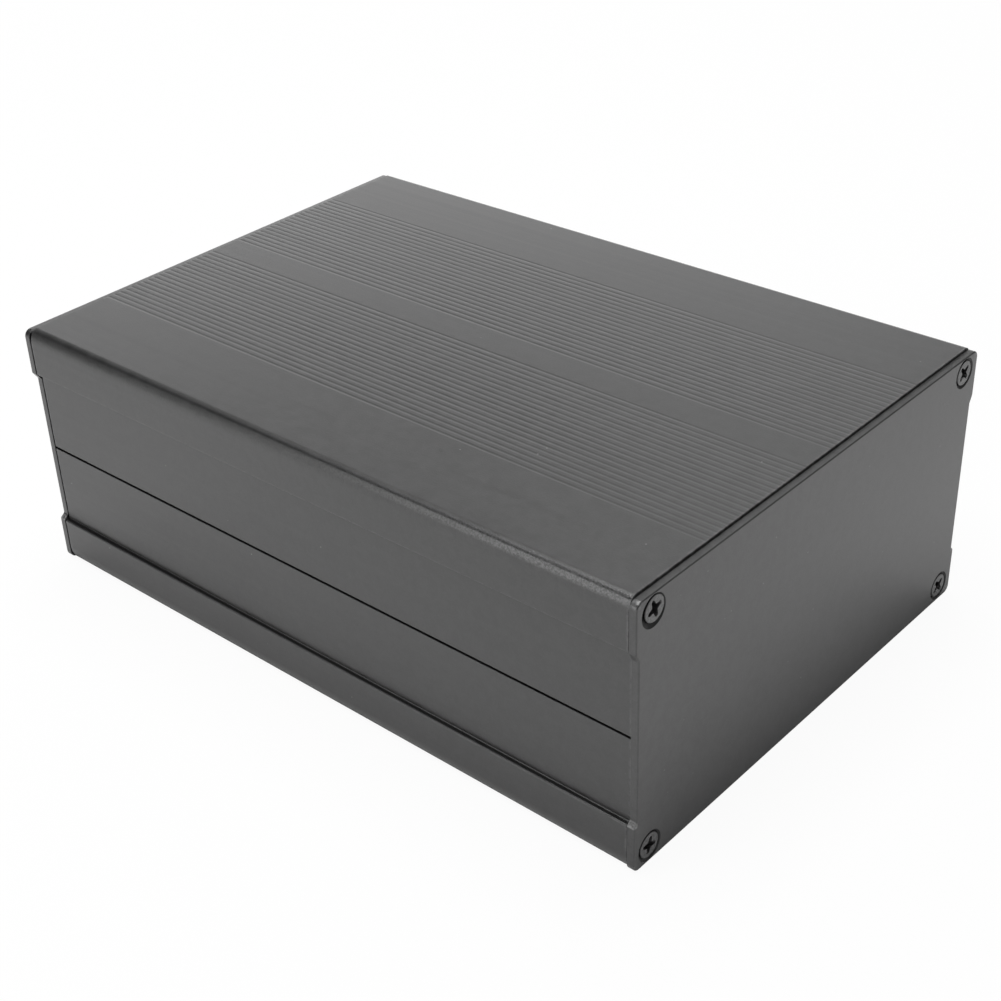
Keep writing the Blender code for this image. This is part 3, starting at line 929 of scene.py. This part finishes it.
def plate_material():
    """Satin black anodised sheet: fine even grain, soft clouds, dust, painted shade on the rims and
    countersink walls, rubbed corners with painted sheen and painted highlight on the lower steps.
    """
    n = Nodes("black_anodised_plate")
    clouds = n.noise(*PLATE_CLOUDS)
    grain = n.noise(*PLATE_GRAIN)
    tone = n.spread(n.mixed(clouds, grain, PLATE_CLOUD_SHARE), *PLATE_TONE_LEVELS)
    n.paint(n.blend(tone, *PLATE_TONES),
            [(n.edge_mark(), PAINTED_RIM_SHADE),
             (corner_rub_and_sheen(n), RUBBED_AND_SHEEN_CORNER),
             (step_highlight(n), PAINTED_STEP_HIGHLIGHT),
             (n.specks(*DUST), PLATE_DUST)])
    rough = n.spread(clouds, *ROUGHNESS_LEVELS, *PLATE_ROUGHNESS)
    rougher = n.math("ADD", rough, n.product(n.edge_mark(), RIM_ROUGHER))
    return n.finish(rougher, n.bump(grain, PLATE_RELIEF), ANODISED_INDEX)


def screw_material():
    """Black oxide steel, slightly glossy, with rubbed and pitted patches."""
    n = Nodes("black_oxide_steel")
    pits = n.noise(*STEEL_PITS)
    rubbed = n.product(n.edge_mark(), n.spread(pits, *STEEL_TONE_LEVELS))
    n.paint(n.blend(rubbed, *STEEL_TONES), [])
    rough = n.spread(pits, *STEEL_ROUGHNESS_LEVELS, *STEEL_ROUGHNESS)
    return n.finish(rough, n.bump(pits, STEEL_RELIEF), STEEL_INDEX)


# Studio

def add_camera():
    """Camera of the reference view."""
    data = bpy.data.cameras.new("camera")
    data.lens = CAMERA_LENS
    data.sensor_width = CAMERA_SENSOR
    data.shift_x, data.shift_y = CAMERA_SHIFT
    data.clip_start, data.clip_end = CAMERA_CLIP
    camera = bpy.data.objects.new("camera", data)
    camera.location = CAMERA_PLACE
    camera.rotation_euler = Euler([math.radians(a) for a in CAMERA_TURN], "XYZ")
    bpy.context.scene.collection.objects.link(camera)
    bpy.context.scene.camera = camera


def add_softbox(name, place, target, size, level):
    """Rectangular area lamp whose face shows the given radiance."""
    data = bpy.data.lights.new(name, "AREA")
    data.shape = "RECTANGLE"
    data.size, data.size_y = size
    data.energy = level * math.pi * size[0] * size[1]
    lamp = bpy.data.objects.new(name, data)
    lamp.location = place
    lamp.rotation_euler = (Vector(target) - Vector(place)).to_track_quat("-Z", "Y").to_euler()
    bpy.context.scene.collection.objects.link(lamp)


def add_world():
    """White to the camera, and a faint even light to everything else."""
    world = bpy.data.worlds.new("studio")
    world.use_nodes = True
    bpy.context.scene.world = world
    tree = world.node_tree
    background = tree.nodes["Background"]
    background.inputs["Color"].default_value = (*WHITE, 1)
    path = tree.nodes.new("ShaderNodeLightPath")
    strength = tree.nodes.new("ShaderNodeMapRange")
    strength.inputs["To Min"].default_value = WORLD_LEVEL
    strength.inputs["To Max"].default_value = 1.0
    tree.links.new(path.outputs["Is Camera Ray"], strength.inputs["Value"])
    tree.links.new(strength.outputs["Result"], background.inputs["Strength"])


def glow_share(tree):
    """Sum of the glow's shares over the kinds of ray."""
    path = tree.nodes.new("ShaderNodeLightPath")
    total = None
    for ray, share in FLOOR_GLOW.items():
        part = tree.nodes.new("ShaderNodeMath")
        part.operation = "MULTIPLY_ADD"
        tree.links.new(path.outputs[ray], part.inputs[0])
        part.inputs[1].default_value = share
        part.inputs[2].default_value = 0.0
        if total:
            tree.links.new(total, part.inputs[2])
        total = part.outputs[0]
    return total


def floor_material():
    """Pale sheet that stays white to the camera but keeps the object's shadow."""
    material = bpy.data.materials.new("pale_floor")
    material.use_nodes = True
    tree = material.node_tree
    tree.nodes.clear()
    out = tree.nodes.new("ShaderNodeOutputMaterial")
    diffuse = tree.nodes.new("ShaderNodeBsdfDiffuse")
    diffuse.inputs["Color"].default_value = (FLOOR_ALBEDO, FLOOR_ALBEDO, FLOOR_ALBEDO, 1)
    glow = tree.nodes.new("ShaderNodeEmission")
    glow.inputs["Color"].default_value = (*WHITE, 1)
    mix = tree.nodes.new("ShaderNodeMixShader")
    tree.links.new(diffuse.outputs[0], mix.inputs[1])
    tree.links.new(glow.outputs[0], mix.inputs[2])
    tree.links.new(glow_share(tree), mix.inputs[0])
    tree.links.new(mix.outputs[0], out.inputs["Surface"])
    return material


def add_floor():
    """Wide level floor, a hair under the box."""
    mesh = bpy.data.meshes.new("floor")
    s = FLOOR_REACH
    mesh.from_pydata([(-s, -s, 0), (s, -s, 0), (s, s, 0), (-s, s, 0)], [], [(0, 1, 2, 3)])
    mesh.materials.append(floor_material())
    floor = bpy.data.objects.new("floor", mesh)
    floor.location.z = -FLOOR_DROP
    bpy.context.scene.collection.objects.link(floor)


def add_studio():
    """World, floor, lamps and view transform."""
    add_world()
    add_floor()
    for name, (place, target, size, level) in LAMPS.items():
        add_softbox(name, place, target, size, level)
    bpy.context.scene.view_settings.view_transform = "Standard"


def main():
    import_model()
    add_box({"shell": shell_material(), "plate": plate_material(), "screw": screw_material()})
    add_camera()
    add_studio()


main()
